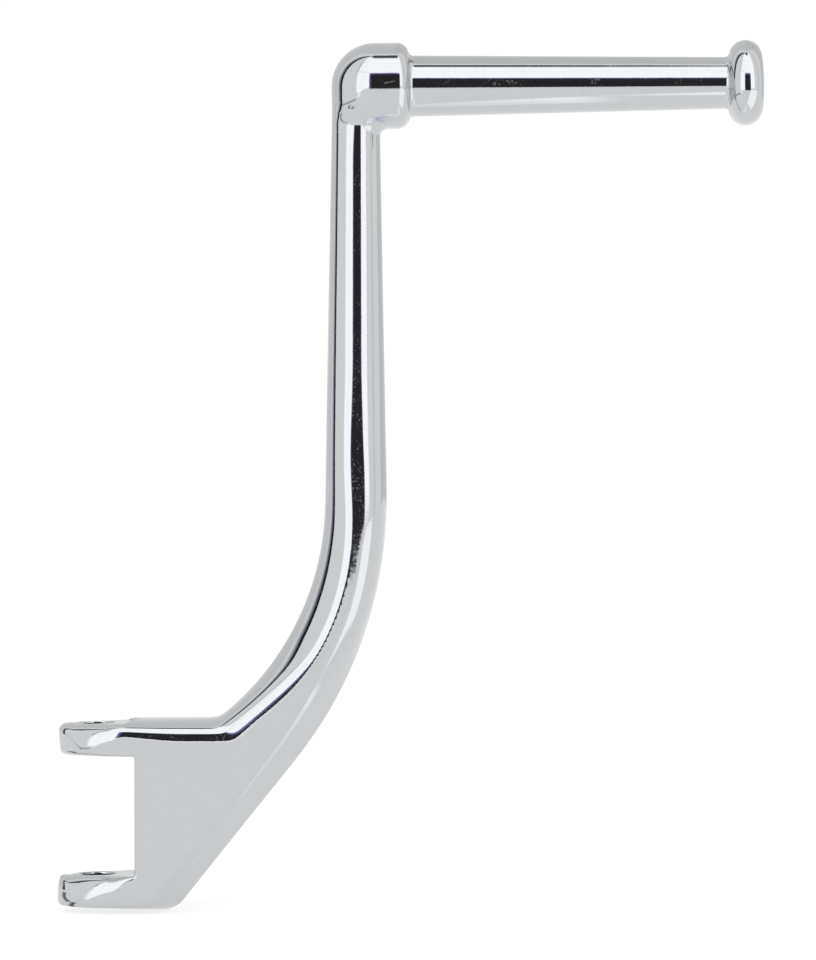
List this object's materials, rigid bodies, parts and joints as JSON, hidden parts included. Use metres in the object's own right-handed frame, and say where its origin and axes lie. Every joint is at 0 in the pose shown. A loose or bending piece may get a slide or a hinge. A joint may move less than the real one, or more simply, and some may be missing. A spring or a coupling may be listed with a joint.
{
  "type": "kickstart lever",
  "caption": "Chromed forged kickstart lever: a forked pivot clevis, a triangular web, a curved tapering arm, a ball elbow and a tapered foot peg with a rounded head.",
  "frame": {"origin": "the middle of the pivot bore, halfway between the clevis ears", "axes": "+Z along the bore towards the peg's end of the arm, +X from the bore towards the peg's head, Y through the depth of the forging"},
  "size_m": [0.1923, 0.0236, 0.2368],
  "materials": {
    "chrome": "bright chrome plate over a hand-polished forging"
  },
  "bodies": {
    "root": {"lever": "chrome"}
  },
  "joints": []
}
